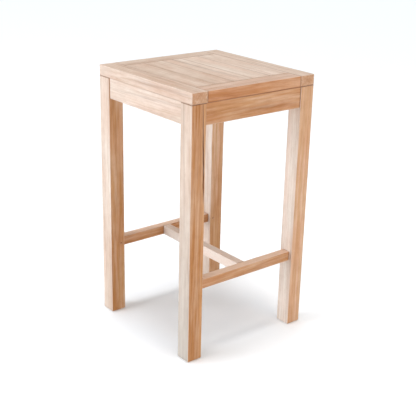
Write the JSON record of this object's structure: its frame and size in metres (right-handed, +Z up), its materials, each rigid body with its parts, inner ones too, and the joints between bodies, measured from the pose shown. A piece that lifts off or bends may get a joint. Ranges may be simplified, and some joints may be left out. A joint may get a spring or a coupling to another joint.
{
  "type": "bar stool",
  "caption": "Square backless bar stool in unfinished teak, with a slatted seat, aprons between straight square legs and an H-shaped footrest.",
  "frame": {"origin": "on the floor under the middle of the seat", "axes": "+Z up, +X to the right and +Y to the back; the front and back stretchers run along X, the seat slats and the cross stretcher along Y"},
  "size_m": [0.42, 0.42, 0.75],
  "materials": {
    "leg_teak": "sanded and unfinished, straight grain running up the leg",
    "apron_teak": "sanded and unfinished, grain running along the board",
    "stretcher_teak": "sanded and unfinished, grain running along the bar",
    "seat_rail_teak": "sanded and unfinished, a little greyer than the base, end grain at the rail ends",
    "seat_slat_teak": "sanded and unfinished, pale boards of mixed tone",
    "corner_block_teak": "sawn and unfinished",
    "peg_teak": "end grain dowel, cut flush",
    "screw_steel": "zinc-plated, slotted countersunk head"
  },
  "bodies": {
    "root": {"apron_back": "apron_teak", "apron_front": "apron_teak", "apron_left": "apron_teak", "apron_right": "apron_teak", "corner_block_back_left": "corner_block_teak", "corner_block_back_right": "corner_block_teak", "corner_block_front_left": "corner_block_teak", "corner_block_front_right": "corner_block_teak", "leg_back_left": "leg_teak", "leg_back_right": "leg_teak", "leg_front_left": "leg_teak", "leg_front_right": "leg_teak", "peg_apron_back_leg_back_left": "peg_teak", "peg_apron_back_leg_back_right": "peg_teak", "peg_apron_front_leg_front_left": "peg_teak", "peg_apron_front_leg_front_right": "peg_teak", "peg_apron_left_leg_back_left": "peg_teak", "peg_apron_left_leg_front_left": "peg_teak", "peg_apron_right_leg_back_right": "peg_teak", "peg_apron_right_leg_front_right": "peg_teak", "peg_stretcher_back_leg_back_left": "peg_teak", "peg_stretcher_back_leg_back_right": "peg_teak", "peg_stretcher_cross_stretcher_back": "peg_teak", "peg_stretcher_cross_stretcher_front": "peg_teak", "peg_stretcher_front_leg_front_left": "peg_teak", "peg_stretcher_front_leg_front_right": "peg_teak", "screw_back_left_back": "screw_steel", "screw_back_left_left": "screw_steel", "screw_back_right_back": "screw_steel", "screw_back_right_right": "screw_steel", "screw_front_left_front": "screw_steel", "screw_front_left_left": "screw_steel", "screw_front_right_front": "screw_steel", "screw_front_right_right": "screw_steel", "seat_rail_back": "seat_rail_teak", "seat_rail_front": "seat_rail_teak", "seat_rail_left": "seat_rail_teak", "seat_rail_right": "seat_rail_teak", "slat_1": "seat_slat_teak", "slat_2": "seat_slat_teak", "slat_3": "seat_slat_teak", "slat_4": "seat_slat_teak", "slat_5": "seat_slat_teak", "stretcher_back": "stretcher_teak", "stretcher_cross": "stretcher_teak", "stretcher_front": "stretcher_teak"}
  },
  "joints": []
}
